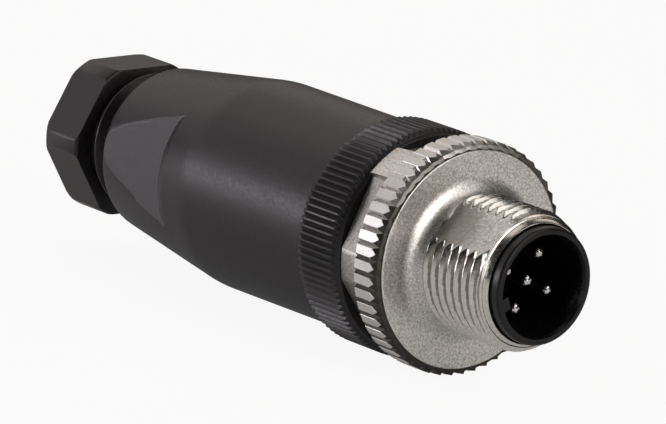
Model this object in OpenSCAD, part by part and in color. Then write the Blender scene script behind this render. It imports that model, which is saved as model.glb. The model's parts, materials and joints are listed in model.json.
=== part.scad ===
// Straight M12 plug for field wiring: five pins, A coding, screw terminals and a
// cable gland. The axis lies along X, with the mating end towards +X and the cable
// end towards -X. The origin is on the axis where the coupling thread begins.
// Stations along the axis are distances behind the plug's front rim, and spin()
// puts them in place. Angles are counted about the axis from +Z towards +Y.

/* [Contacts] */
// Diameter of a contact pin
pin_d = 1; // [0.8:0.05:1.1]
// Diameter of the circle that carries the four outer pins
pin_circle_d = 5; // [4.8:0.1:5.2]
// Distance from the front rim to the tips of the pins
pin_setback = 2; // [1:0.1:4]
// Angle of the first outer pin
pin_angle = 23; // [0:1:89]
// Diameter of the terminal barrel behind each pin
barrel_d = 2.2; // [2:0.05:2.3]
// Length of the terminal barrels of the outer contacts
barrel_len = 7; // [6:0.1:9]
// How much further back the barrel of the centre contact stands
centre_offset = 4; // [3.6:0.1:5]
// Diameter of the wire hole in a barrel
wire_hole_d = 1.2; // [1:0.05:1.3]
// Depth of the wire hole
wire_hole_depth = 5; // [4:0.1:5.5]
// Thread diameter of a terminal screw
screw_d = 1.3; // [1.1:0.05:1.4]
// Head diameter of a terminal screw
screw_head_d = 1.9; // [1.7:0.05:2.1]
// Height of a terminal screw's head
screw_head_h = 0.8; // [0.6:0.05:1]
// Width of the slot in a terminal screw
slot_w = 0.3; // [0.2:0.05:0.4]

/* [Insert] */
// Outside diameter of the plastic shroud round the pins
shroud_d = 9.9; // [9.7:0.05:10.1]
// Wall of the shroud
shroud_wall = 0.7; // [0.5:0.05:0.9]
// Depth of the shroud from its rim to the insert's face
shroud_depth = 8.5; // [6:0.1:10]
// Radial height of the coding rib inside the shroud
key_h = 0.95; // [0.7:0.05:1.1]
// Width of the coding rib
key_w = 1.1; // [0.8:0.05:1.5]
// Setback of the coding rib from the rim
key_setback = 0.6; // [0.3:0.1:2]
// Thickness of the flange
flange_t = 1.35; // [1:0.05:2]
// Diameter of the terminal block
block_d = 11.8; // [11:0.1:12.4]
// Distance from the flange to the block's rear face
block_len = 19; // [17:0.1:22]
// Diameter of the tower round the centre contact's barrel
tower_d = 3.2; // [3:0.05:3.4]
// Section diameter of the O-ring round the block
insert_seal_d = 0.94; // [0.7:0.02:1.2]
// Distance from the flange to the middle of that O-ring
insert_seal_setback = 2; // [1:0.1:4]

/* [Coupling ring] */
// Setback of the metal sleeve's front face from the shroud's rim
sleeve_setback = 1; // [0.5:0.1:2]
// Plain lead of the sleeve in front of the thread
lead_len = 1.1; // [0.6:0.1:2]
// Wall of the sleeve in the relief behind the thread
sleeve_wall = 0.29; // [0.25:0.01:0.5]
// Radial height of the coupling thread above the relief
thread_h = 0.65; // [0.5:0.01:0.7]
// Depth of the coupling thread
thread_depth = 0.58; // [0.4:0.01:0.6]
// Pitch of the coupling thread
thread_pitch = 0.98; // [0.9:0.01:1.1]
// Length of the coupling thread
thread_len = 6.4; // [4:0.1:9]
// Angle of the first of two smooth lands across the coupling thread
land_angle = 135.65; // [0:0.05:180]
// Angle that each land takes
land_sweep = 26; // [10:1:40]
// Distance from the end of the thread to the disc's face
relief_len = 1.04; // [0.9:0.02:2]
// Radius of the blend from the relief into the disc
disc_blend = 0.85; // [0.4:0.05:0.85]
// How far the disc's edge lies below the tops of the grip teeth
disc_drop = 0.59; // [0.4:0.01:1]
// Wall between the disc's face and the counterbore behind it
disc_wall = 1.06; // [0.8:0.02:1.5]
// Number of grip teeth
teeth = 50; // [40:1:60]
// How far the grip teeth stand out above the fine ridges behind them
teeth_rise = 0.04; // [0:0.01:0.2]
// Radial depth of the grip teeth
tooth_depth = 0.7; // [0.4:0.05:0.8]
// Share of the pitch that a tooth's flat top takes
tooth_top = 0.68; // [0.4:0.02:0.75]
// Share of the pitch that a tooth takes at its base
tooth_base = 0.94; // [0.8:0.02:0.96]
// Length of a tooth with its point
tooth_len = 2.55; // [2:0.05:3]
// Length of a tooth's point
tooth_point = 0.75; // [0.3:0.05:1]
// Distance from the disc's face to the tips of the teeth
tooth_setback = 0.4; // [0.2:0.02:0.6]
// Angle of a tooth
tooth_angle = 2.15; // [0:0.05:7.2]
// Angle of the bare plate that bridges some of the teeth
plate_angle = -37.5; // [-180:0.5:180]
// Angle that the plate takes
plate_sweep = 19; // [8:0.5:40]
// How far the flats of the collar lie below the tops of the teeth
collar_drop = 1.25; // [1:0.05:1.5]
// How far the collar's rounded corners stand out past its flats
collar_corner = 0.7; // [0.3:0.05:0.9]
// Length of the ring from the disc's face to its rear end
ring_len = 5.5; // [5:0.05:7]
// Angle of the collar's first flat
collar_angle = -6.3; // [-30:0.1:30]
// Diameter of the counterbore
counterbore_d = 14; // [13.6:0.1:14.6]

/* [Grip ring] */
// Diameter over the fine ridges
grip_d = 19.62; // [19:0.02:20]
// Length of the ridged part
grip_len = 5.06; // [4:0.02:8]
// Number of ridges
ridges = 102; // [80:2:120]
// Depth of the ridges
ridge_depth = 0.3; // [0.15:0.05:0.4]
// Chamfer at the front of the ridges
grip_chamfer = 0.5; // [0.3:0.05:0.8]
// Diameter of the threaded neck behind the ridges
neck_d = 16.4; // [16:0.1:16.8]
// Length of the neck
neck_len = 6.4; // [6:0.1:8]
// Section diameter of the neck's O-ring
neck_seal_d = 1.2; // [0.9:0.05:1.3]
// Distance from the ridges to the middle of that O-ring
neck_seal_setback = 1.1; // [1:0.1:2]

/* [Backshell] */
// Outside diameter of the barrel at its front
barrel_front_d = 18.3; // [18:0.05:18.6]
// Outside diameter of the barrel at its rear
barrel_back_d = 18.5; // [18:0.05:18.8]
// Length of the barrel
shell_barrel_len = 16.9; // [15:0.1:20]
// Length of the cone behind the barrel
cone_len = 14; // [12:0.1:18]
// Wall round the gland's thread at the rear end of the cone
rim_wall = 1.1; // [0.8:0.05:1.5]
// How deep the two wrench flats cut into the rear end of the cone
flats_cut = 0.03; // [0.01:0.01:0.3]
// Angle of the wrench flats
flats_angle = -83.3; // [-90:0.1:90]
// Distance from the barrel to where the shoulders of the flats start
shoulder_setback = 3.2; // [2:0.1:6]
// Radius of those shoulders
shoulder_r = 2.7; // [1:0.1:4]
// Diameter of the wiring chamber
chamber_d = 14.8; // [14:0.1:15.4]
// Length of the thread that takes the grip ring's neck
shell_thread_len = 7.4; // [7:0.1:9]
// Distance from the shell's front to the seat of the cable seal
seat_at = 15.8; // [15.5:0.1:18]
// Thickness of the wall that the cable seal sits on
seat_wall = 1.5; // [1:0.1:2]
// Diameter of the hole through that wall
seat_hole_d = 8.4; // [7.5:0.1:9]

/* [Cable gland] */
// Thread diameter of the pressing screw
gland_d = 12.4; // [12:0.1:12.6]
// Pitch of that thread
gland_pitch = 1.5; // [1:0.1:2]
// Depth of that thread
gland_depth = 0.7; // [0.4:0.05:0.8]
// Width over the flats of the pressing screw
nut_af = 12.8; // [12.4:0.1:13.2]
// How far the hexagon's turned corners stand out past its flats
nut_corner = 0.6; // [0.3:0.05:0.9]
// Length of the hexagon
nut_len = 4.76; // [3:0.02:7]
// Length of the threaded shank
shank_len = 6.54; // [5:0.02:8]
// Distance from the shell's rear rim to the hexagon, as the screw stands
nut_out = 4.04; // [3.8:0.02:4.6]
// Diameter of the cable bore
cable_bore_d = 6.6; // [6:0.1:7.2]
// Length of the rubber cable seal
seal_len = 4.4; // [4:0.1:4.6]
// Bore of the cable seal
seal_bore_d = 6; // [5:0.1:6.4]
// Length of the clamping cage
cage_len = 4.4; // [3:0.1:4.6]
// Bore of the clamping cage
cage_bore_d = 7.4; // [6.8:0.1:8]
// Number of slots in the clamping cage
cage_slots = 8; // [4:1:10]
// Width of a slot in the clamping cage
cage_slot_w = 0.9; // [0.5:0.1:1.2]

/* [Clearances] */
// Radial clearance of threads and bearings that turn
run_gap = 0.06; // [0.03:0.01:0.1]
// Gap between faces that meet
face_gap = 0.05; // [0.02:0.01:0.1]
// Radial clearance of parts that are pressed together
press_gap = 0.02; // [0.01:0.01:0.05]
// Radial clearance of the flange inside the coupling ring
flange_gap = 0.15; // [0.1:0.01:0.3]
// Radial clearance of a terminal screw's head in the block
head_gap = 0.04; // [0.02:0.01:0.1]

/* [Hidden] */
$fn = 96;
OUTER_PINS = 4;
CENTRE = 5;
eps = 0.01;

// Colours of the materials
black_plastic = [0.16, 0.15, 0.155];
deep_black = [0.07, 0.065, 0.07];
nickel = [0.72, 0.7, 0.67];
brass = [0.83, 0.72, 0.42];
rubber_black = [0.1, 0.1, 0.1];
rubber_grey = [0.3, 0.3, 0.3];

// Stations of the coupling ring
thread_at = sleeve_setback + lead_len;
thread_end = thread_at + thread_len;
disc_at = thread_end + relief_len;
shoulder_at = disc_at + disc_wall;
tooth_at = disc_at + tooth_setback;
tooth_end = tooth_at + tooth_len;
ring_end = disc_at + ring_len;

// Stations of the insert and its contacts
flange_at = shoulder_at + face_gap;
flange_end = flange_at + flange_t;
block_end = flange_end + block_len;
outer_barrel_at = block_end - barrel_len;
tower_end = block_end + centre_offset;
insert_seal_at = flange_end + insert_seal_setback;

// Stations of the grip ring and the backshell
nose_at = flange_end + face_gap;
grip_at = ring_end + face_gap;
grip_end = grip_at + grip_len;
neck_end = grip_end + neck_len;
neck_seal_at = grip_end + neck_seal_setback;
shell_at = grip_end + face_gap;
cone_at = shell_at + shell_barrel_len;
shoulder_start = cone_at + shoulder_setback;
shell_end = cone_at + cone_len;
seat_station = shell_at + seat_at;
chamber_at = shell_at + shell_thread_len;
chamber_end = seat_station - seat_wall;

// Stations of the gland
seal_at = seat_station + face_gap;
nut_at = shell_end + nut_out;
shank_at = nut_at - shank_len;
nut_end = nut_at + nut_len;
cage_end = shank_at - face_gap;
cage_at = cage_end - cage_len;

// Radii shared by mating pieces
bearing_r = shroud_d / 2 + run_gap;
relief_r = bearing_r + sleeve_wall;
thread_r = relief_r + thread_h;
grip_r = grip_d / 2;
teeth_r = grip_r + teeth_rise;
tooth_root_r = teeth_r - tooth_depth;
collar_flat_r = teeth_r - collar_drop;
block_r = block_d / 2;
flange_r = counterbore_d / 2 - flange_gap;
carrier_bore_r = block_r + press_gap;
nose_r = counterbore_d / 2 - run_gap;
neck_r = neck_d / 2;
neck_seal_r = neck_r - neck_seal_d / 2 + run_gap / 3;
gland_r = gland_d / 2;
rim_r = gland_r + rim_wall;
// Radius at which a terminal screw's head starts, measured from its contact's axis
head_r = barrel_d / 2 + 0.55;
// Chamfer that breaks the plain edges
edge = 0.3;
// Steps of a rounded edge, in degrees
round_step = 22.5;

// Puts a piece drawn along +Z, front rim at zero, onto the plug's axis.
module spin() {
    translate([thread_at, 0, 0]) rotate([0, -90, 0]) children();
}

// Turns a profile of radius and station about the axis.
module turned(points) {
    rotate_extrude() polygon(points);
}

// A straight bore between two stations.
module bore(r, from, to) {
    translate([0, 0, from]) cylinder(r = r, h = to - from);
}

// A tapered bore or plug between two stations.
module taper(r1, r2, from, to) {
    translate([0, 0, from]) cylinder(r1 = r1, r2 = r2, h = to - from);
}

// Profile points (radius, station) of an arc from angle a to angle b round a centre.
function arc(c, r, a, b) = let (n = round(abs(b - a) / round_step))
    [for (i = [0:n]) let (t = a + (b - a) * i / n) [c[0] + r * cos(t), c[1] + r * sin(t)]];

// Rings that stand in for a thread: crests of radius r, grooves depth deep.
module thread_rings(r, depth, pitch, from, to) {
    crest = pitch / 8;
    count = floor((to - from) / pitch + crest);
    first = (from + to - count * pitch) / 2;
    turned(concat([[0, from], [r, from]],
        [for (i = [0:count - 1]) for (p = [[r, crest], [r - depth, pitch / 2 - crest / 2],
            [r - depth, pitch / 2 + crest / 2], [r, pitch - crest]])
            [p[0], first + i * pitch + p[1]]],
        [[r, to], [0, to]]));
}

// A round rubber ring of a given section.
module o_ring(r, d, at) {
    translate([0, 0, at]) rotate_extrude() translate([r, 0]) circle(d = d, $fn = 32);
}

// Place of contact number i across the axis.
function pin_place(i) = i == CENTRE ? [0, 0]
    : pin_circle_d / 2 * [cos(pin_angle + 90 * (i - 1)), sin(pin_angle + 90 * (i - 1))];
// Direction in which the terminal screw of contact number i stands.
function screw_angle(i) = i == CENTRE ? pin_angle + 45 : pin_angle + 90 * (i - 1);
// Station where the terminal barrel of contact number i starts.
function barrel_at(i) = outer_barrel_at + (i == CENTRE ? centre_offset : 0);
// Station of the terminal screw of contact number i.
function screw_at(i) = barrel_at(i) + barrel_len - wire_hole_depth / 2;

// Cuts for contact number i, opened by gap all round: the pin's hole and the barrel's.
module contact_hole(i, gap) {
    translate(pin_place(i)) {
        bore(pin_d / 2 + gap, shroud_depth - eps, barrel_at(i) + eps);
        bore(barrel_d / 2 + gap, barrel_at(i) - gap, barrel_at(i) + barrel_len + eps);
    }
}

// Side hole for the terminal screw of contact number i, from radius r outwards.
module screw_hole(i, d, r, reach) {
    translate([pin_place(i)[0], pin_place(i)[1], screw_at(i)])
        rotate([0, 90, screw_angle(i)])
            translate([0, 0, r]) cylinder(d = d, h = reach);
}

module contact(i) {
    pin_r = pin_d / 2;
    tip_r = pin_r * 0.8;
    color(brass) spin() difference() {
        translate(pin_place(i)) {
            turned(concat([[0, pin_setback]],
                arc([pin_r - tip_r, pin_setback + tip_r], tip_r, -90, 0),
                [[pin_r, barrel_at(i) + eps], [0, barrel_at(i) + eps]]));
            bore(barrel_d / 2, barrel_at(i), barrel_at(i) + barrel_len);
        }
        translate(pin_place(i))
            bore(wire_hole_d / 2, barrel_at(i) + barrel_len - wire_hole_depth,
                barrel_at(i) + barrel_len + eps);
        screw_hole(i, screw_d + 2 * run_gap, 0, barrel_d);
    }
}

module contact_1() { contact(1); }
module contact_2() { contact(2); }
module contact_3() { contact(3); }
module contact_4() { contact(4); }
module contact_5() { contact(5); }

module terminal_screw(i) {
    shank_from = wire_hole_d / 2;
    color(nickel) spin()
        translate([pin_place(i)[0], pin_place(i)[1], screw_at(i)])
            rotate([0, 90, screw_angle(i)]) difference() {
                union() {
                    translate([0, 0, shank_from]) cylinder(d = screw_d, h = head_r - shank_from + eps);
                    translate([0, 0, head_r]) cylinder(d = screw_head_d, h = screw_head_h);
                }
                translate([-screw_head_d, -slot_w / 2, head_r + screw_head_h / 2])
                    cube([2 * screw_head_d, slot_w, screw_head_h]);
            }
}

module terminal_screw_1() { terminal_screw(1); }
module terminal_screw_2() { terminal_screw(2); }
module terminal_screw_3() { terminal_screw(3); }
module terminal_screw_4() { terminal_screw(4); }
module terminal_screw_5() { terminal_screw(5); }

// Shroud, coding rib, flange, terminal block and the tower of the centre contact.
module contact_insert() {
    shroud_r = shroud_d / 2;
    cavity_r = shroud_r - shroud_wall;
    rim_round = edge * 0.8;
    seal_groove_r = block_r - insert_seal_d - press_gap;
    seal_half = insert_seal_d / 2 + face_gap;
    key_turn = pin_angle - 135;
    color(deep_black) spin() difference() {
        union() {
            turned(concat([[0, shroud_depth], [cavity_r, shroud_depth],
                [cavity_r, edge], [cavity_r + edge / 2, 0]],
                arc([shroud_r - rim_round, rim_round], rim_round, -90, 0),
                [[shroud_r, flange_at], [flange_r, flange_at],
                [flange_r, flange_end], [block_r, flange_end],
                [block_r, insert_seal_at - seal_half],
                [seal_groove_r, insert_seal_at - seal_half],
                [seal_groove_r, insert_seal_at + seal_half],
                [block_r, insert_seal_at + seal_half],
                [block_r, block_end - edge], [block_r - edge, block_end],
                [tower_d / 2, block_end], [tower_d / 2, tower_end], [0, tower_end]]));
            rotate([0, 0, key_turn]) translate([cavity_r - key_h, -key_w / 2, key_setback])
                cube([key_h + shroud_wall / 2, key_w, shroud_depth - key_setback + eps]);
        }
        for (i = [1:CENTRE]) {
            contact_hole(i, press_gap);
            screw_hole(i, screw_head_d + 2 * head_gap, 0, block_d);
        }
    }
}

module insert_seal() {
    color(rubber_black) spin()
        o_ring(block_r - insert_seal_d / 2, insert_seal_d, insert_seal_at);
}

// One grip tooth: a trapezoid across, a pointed bar along.
module grip_tooth() {
    top_w = tooth_top * PI * 2 * teeth_r / teeth;
    base_w = tooth_base * PI * 2 * tooth_root_r / teeth;
    sunk = 0.3;
    side = base_w / 2 + 0.05;
    intersection() {
        translate([0, 0, tooth_at]) linear_extrude(height = tooth_len)
            polygon([[tooth_root_r - sunk, -base_w / 2], [tooth_root_r, -base_w / 2],
                [teeth_r, -top_w / 2], [teeth_r, top_w / 2],
                [tooth_root_r, base_w / 2], [tooth_root_r - sunk, base_w / 2]]);
        translate([tooth_root_r - 2 * sunk, 0, 0]) rotate([0, 90, 0])
            linear_extrude(height = tooth_depth + 3 * sunk)
                polygon([[-tooth_at, 0], [-tooth_at - tooth_point, side], [-tooth_end - eps, side],
                    [-tooth_end - eps, -side], [-tooth_at - tooth_point, -side]]);
    }
}

// A wedge about the axis, as high as from station 0 to the ring's end.
module wedge(angle, sweep) {
    reach = 2 * teeth_r;
    rotate([0, 0, angle]) linear_extrude(height = ring_end)
        polygon([[0, 0], [reach, -reach * tan(sweep / 2)], [reach, reach * tan(sweep / 2)]]);
}

// The coupling thread with its two smooth lands.
module coupling_thread() {
    thread_rings(thread_r, thread_depth, thread_pitch, thread_at, thread_end);
    for (side = [0, 180]) intersection() {
        bore(thread_r, thread_at, thread_end);
        wedge(land_angle + side, land_sweep);
    }
}

// The bare plate on one corner of the collar.
module bare_plate() {
    plate_at = tooth_at + tooth_point;
    foot_r = collar_flat_r - edge;
    intersection() {
        turned([[foot_r, plate_at], [teeth_r - edge / 2, plate_at], [teeth_r, plate_at + edge / 2],
            [teeth_r, tooth_end], [collar_flat_r + collar_corner, ring_end - edge / 2],
            [foot_r, ring_end - edge / 2]]);
        wedge(plate_angle, plate_sweep);
    }
}

// Threaded sleeve, disc, grip teeth and six-sided collar in one piece.
module coupling_ring() {
    disc_r = teeth_r - disc_drop;
    collar_r = collar_flat_r + collar_corner;
    thread_root_r = thread_r - thread_depth;
    core_r = (bearing_r + relief_r) / 2;
    bevel = 0.25;
    overlap = 0.2;
    color(nickel) spin() difference() {
        union() {
            turned(concat([[0, sleeve_setback], [thread_root_r - bevel / 2, sleeve_setback],
                [thread_root_r, sleeve_setback + bevel / 2], [thread_root_r, thread_at - bevel],
                [thread_r, thread_at], [core_r, thread_at], [core_r, thread_end],
                [thread_r, thread_end], [relief_r, thread_end + bevel]],
                arc([relief_r + disc_blend, disc_at - disc_blend], disc_blend, 180, 90),
                [[disc_r - bevel, disc_at], [disc_r, disc_at + bevel],
                [tooth_root_r, disc_at + 2 * bevel], [tooth_root_r, tooth_end], [0, tooth_end]]));
            coupling_thread();
            bare_plate();
            for (i = [0:teeth - 1]) rotate([0, 0, tooth_angle + i * 360 / teeth]) grip_tooth();
            intersection() {
                translate([0, 0, tooth_end - overlap]) rotate([0, 0, collar_angle + 30])
                    cylinder(r = collar_flat_r / cos(30), h = ring_end - tooth_end + overlap, $fn = 6);
                turned([[0, tooth_end - overlap], [collar_r, tooth_end - overlap],
                    [collar_r, ring_end - edge / 2], [collar_r - edge / 2, ring_end],
                    [0, ring_end]]);
            }
        }
        bore(bearing_r, 0, shoulder_at + eps);
        taper(bearing_r + edge / 2, bearing_r, sleeve_setback - eps, sleeve_setback + edge / 2);
        bore(counterbore_d / 2, shoulder_at, ring_end + eps);
        taper(counterbore_d / 2, counterbore_d / 2 + edge, ring_end - edge, ring_end + eps);
    }
}

// Outline across the fine ridges.
module ridged_outline() {
    step = 360 / ridges;
    polygon([for (i = [0:ridges - 1]) for (s = [[-0.25, 0], [0.25, 0], [0.5, 1]])
        let (a = (i + s[0]) * step, q = grip_r - s[1] * ridge_depth) [q * cos(a), q * sin(a)]]);
}

// Nose inside the coupling ring, ridged grip and threaded neck in one piece.
module grip_ring() {
    groove_r = neck_seal_r - neck_seal_d / 2 - press_gap;
    seal_half = neck_seal_d / 2 + face_gap;
    core_r = grip_r - ridge_depth - grip_chamfer;
    rear_edge = 0.1;
    color(black_plastic) spin() difference() {
        union() {
            turned([[0, nose_at], [nose_r - edge, nose_at], [nose_r, nose_at + edge],
                [nose_r, grip_at + eps], [core_r, grip_at + eps], [core_r, grip_end],
                [neck_r, grip_end], [neck_r, neck_seal_at - seal_half],
                [groove_r, neck_seal_at - seal_half], [groove_r, neck_seal_at + seal_half],
                [neck_r, neck_seal_at + seal_half], [neck_r, neck_end - edge],
                [neck_r - edge, neck_end], [0, neck_end]]);
            intersection() {
                translate([0, 0, grip_at]) linear_extrude(height = grip_len) ridged_outline();
                turned([[0, grip_at], [grip_r - grip_chamfer, grip_at],
                    [grip_r, grip_at + grip_chamfer], [grip_r, grip_end - rear_edge],
                    [grip_r - rear_edge, grip_end], [0, grip_end]]);
            }
        }
        bore(carrier_bore_r, nose_at - eps, neck_end + eps);
        taper(carrier_bore_r + edge, carrier_bore_r, nose_at - eps, nose_at + edge);
    }
}

module neck_seal() {
    color(rubber_black) spin()
        o_ring(neck_seal_r, neck_seal_d, neck_seal_at);
}

// Barrel and cone in one piece. Two wrench flats run from the rear end of the cone
// up to round shoulders, and both ends are threaded inside.
module backshell() {
    shell_thread_r = neck_r + run_gap;
    chamber_r = chamber_d / 2;
    front_r = barrel_front_d / 2;
    back_r = barrel_back_d / 2;
    lip = 0.35;
    dish = 2;
    lean = atan((back_r - rim_r) / cone_len);
    shoulder_front_r = back_r - shoulder_setback * tan(lean);
    // The shoulders' arc starts flush with the cone and ends under the flats.
    shoulder = arc([shoulder_front_r - shoulder_r * cos(lean), shoulder_start - shoulder_r * sin(lean)],
        shoulder_r, lean, 75);
    color(black_plastic) spin() difference() {
        union() {
            turned(concat([[0, shell_at], [front_r - lip, shell_at], [front_r, shell_at + lip],
                [back_r, cone_at]], shoulder, [[0, shoulder[len(shoulder) - 1][1]]]));
            intersection() {
                turned([[0, cone_at], [back_r, cone_at], [rim_r + lip * tan(lean), shell_end - lip],
                    [rim_r - lip, shell_end], [0, shell_end]]);
                rotate([0, 0, flats_angle]) translate([flats_cut - rim_r, -back_r, cone_at])
                    cube([2 * (rim_r - flats_cut), 2 * back_r, cone_len]);
            }
        }
        bore(shell_thread_r, shell_at - eps, chamber_at);
        taper(shell_thread_r + lip, shell_thread_r, shell_at - eps, shell_at + lip);
        bore(chamber_r, chamber_at - eps, chamber_end - dish);
        taper(chamber_r, seat_hole_d / 2, chamber_end - dish - eps, chamber_end);
        bore(seat_hole_d / 2, chamber_end - eps, seat_station + eps);
        bore(gland_r + run_gap, seat_station, shell_end + eps);
        taper(gland_r + run_gap, gland_r + run_gap + lip, shell_end - lip, shell_end + eps);
    }
}

// Rubber sleeve that the cage squeezes onto the cable.
module cable_seal() {
    r = gland_r - 0.05;
    color(rubber_grey) spin() difference() {
        turned([[0, seal_at], [r - 0.5, seal_at], [r, seal_at + 0.5], [r, seal_at + seal_len - 0.8],
            [r - 0.8, seal_at + seal_len], [0, seal_at + seal_len]]);
        bore(seal_bore_d / 2, seal_at - eps, seal_at + seal_len + eps);
        taper(seal_bore_d / 2 + 0.5, seal_bore_d / 2, seal_at - eps, seal_at + 0.5);
        taper(seal_bore_d / 2, seal_bore_d / 2 + 0.5, seal_at + seal_len - 0.5, seal_at + seal_len + eps);
    }
}

// Slotted cage between the pressing screw and the seal.
module clamping_cage() {
    r = gland_r - 0.15;
    base = 1.2;
    color(black_plastic) spin() difference() {
        turned([[0, cage_at], [r - 0.7, cage_at], [r, cage_at + 1.4], [r, cage_end], [0, cage_end]]);
        bore(cage_bore_d / 2, cage_at - eps, cage_end + eps);
        for (i = [0:cage_slots - 1]) rotate([0, 0, i * 360 / cage_slots])
            translate([cage_bore_d / 2 - 1, -cage_slot_w / 2, cage_at - eps])
                cube([gland_r, cage_slot_w, cage_len - base]);
    }
}

// Threaded shank and hexagon in one piece.
module pressing_screw() {
    corner_r = nut_af / 2 + nut_corner;
    shank_r = gland_r - gland_depth;
    mouth = 0.8;
    color(black_plastic) spin() difference() {
        union() {
            turned([[0, shank_at], [shank_r, shank_at], [gland_r, shank_at + gland_depth],
                [shank_r, shank_at + gland_depth], [shank_r, nut_at + eps], [0, nut_at + eps]]);
            thread_rings(gland_r, gland_depth, gland_pitch, shank_at + gland_depth, nut_at - edge);
            intersection() {
                translate([0, 0, nut_at]) rotate([0, 0, 30])
                    cylinder(d = nut_af / cos(30), h = nut_len, $fn = 6);
                turned([[0, nut_at], [corner_r - edge, nut_at], [corner_r, nut_at + edge],
                    [corner_r, nut_end - edge], [corner_r - edge, nut_end], [0, nut_end]]);
            }
        }
        bore(cable_bore_d / 2, shank_at - eps, nut_end + eps);
        taper(cable_bore_d / 2, cable_bore_d / 2 + mouth, nut_end - mouth, nut_end + eps);
    }
}

contact_insert();
contact_1();
contact_2();
contact_3();
contact_4();
contact_5();
terminal_screw_1();
terminal_screw_2();
terminal_screw_3();
terminal_screw_4();
terminal_screw_5();
insert_seal();
coupling_ring();
grip_ring();
neck_seal();
backshell();
cable_seal();
clamping_cage();
pressing_screw();
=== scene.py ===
import json
import math

import bmesh
import bpy
import numpy as np
from mathutils import Matrix, Vector


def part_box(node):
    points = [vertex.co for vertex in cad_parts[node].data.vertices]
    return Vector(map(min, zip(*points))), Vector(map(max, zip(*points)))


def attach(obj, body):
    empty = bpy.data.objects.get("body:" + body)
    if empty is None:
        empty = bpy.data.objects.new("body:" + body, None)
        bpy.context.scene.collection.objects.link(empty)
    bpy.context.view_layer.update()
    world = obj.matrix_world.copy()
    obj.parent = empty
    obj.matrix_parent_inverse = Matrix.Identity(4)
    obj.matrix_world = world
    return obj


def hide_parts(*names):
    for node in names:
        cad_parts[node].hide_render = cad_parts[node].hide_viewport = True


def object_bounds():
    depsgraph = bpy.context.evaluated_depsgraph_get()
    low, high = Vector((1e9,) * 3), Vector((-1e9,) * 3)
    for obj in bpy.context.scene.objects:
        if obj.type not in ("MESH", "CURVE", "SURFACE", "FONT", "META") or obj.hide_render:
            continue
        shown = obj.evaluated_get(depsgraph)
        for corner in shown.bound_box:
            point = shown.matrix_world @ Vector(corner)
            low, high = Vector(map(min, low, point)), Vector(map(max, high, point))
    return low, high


# Lengths here are in millimetres and MM turns them into metres; what the stage and the
# materials take in metres says so. A station is a distance behind the plug's front rim.
# Angles about the axis are counted from +Z towards +Y, in degrees.
MM = 0.001
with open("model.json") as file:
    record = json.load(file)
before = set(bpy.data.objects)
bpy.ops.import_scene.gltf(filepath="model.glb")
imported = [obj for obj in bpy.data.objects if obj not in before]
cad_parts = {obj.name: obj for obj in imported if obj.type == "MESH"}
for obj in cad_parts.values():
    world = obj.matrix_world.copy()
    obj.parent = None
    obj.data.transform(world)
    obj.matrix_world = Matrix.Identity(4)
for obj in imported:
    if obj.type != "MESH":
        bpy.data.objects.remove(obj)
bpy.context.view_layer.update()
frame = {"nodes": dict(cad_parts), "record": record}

RIM_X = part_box("contact_insert")[1].x
MOUNTS = {m["name"]: m for m in frame["record"]["mounts"]}


def station(node, end):
    """Station of a CAD node's front (end=1) or rear (end=0)."""
    return (RIM_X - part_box(node)[end].x) / MM


def outer_radius(node):
    """Largest radius of a CAD node about the axis."""
    return max(math.hypot(v.co.y, v.co.z) for v in frame["nodes"][node].data.vertices) / MM


# ---------------------------------------------------------------- camera and stage

CAMERA_LENS = 324.3
CAMERA_AZIMUTH = 50.6
CAMERA_ELEVATION = 12.39
CAMERA_ROLL = 5.47
CAMERA_DISTANCE = 506.8
CAMERA_TARGET = Vector((-25.64, -0.06, -0.17))
# The floor's tone, how far it glows for the camera and for glossy rays, and, in
# metres, half its width and its gap below the solids.
FLOOR_TONE = 0.86
FLOOR_GLOW = 0.92
FLOOR_SHINE = 0.16
FLOOR_HALF = 3.0
FLOOR_GAP = 0.00002


def toward(azimuth, elevation):
    """Unit vector away from the object; degrees, with azimuth from -Y towards +X."""
    a = math.radians(azimuth)
    e = math.radians(elevation)
    return Vector((math.sin(a) * math.cos(e), -math.cos(a) * math.cos(e), math.sin(e)))


def add_camera():
    back = toward(CAMERA_AZIMUTH, CAMERA_ELEVATION)
    level = Vector((0, 0, 1)).cross(back).normalized()
    roll = Matrix.Rotation(math.radians(CAMERA_ROLL), 3, back)
    right = roll @ level
    up = back.cross(right)
    data = bpy.data.cameras.new("camera")
    data.sensor_fit = "HORIZONTAL"
    data.sensor_width = 36.0
    data.lens = CAMERA_LENS
    data.clip_start = 0.01
    data.clip_end = 20.0
    camera = bpy.data.objects.new("camera", data)
    bpy.context.scene.collection.objects.link(camera)
    pose = Matrix((right, up, back)).transposed().to_4x4()
    pose.translation = (CAMERA_TARGET + back * CAMERA_DISTANCE) * MM
    camera.matrix_world = pose
    bpy.context.scene.camera = camera


def new_material(name):
    material = bpy.data.materials.new(name)
    material.use_nodes = True
    nodes = material.node_tree.nodes
    shader = nodes["Principled BSDF"]
    return material, nodes, material.node_tree.links, shader


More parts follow.
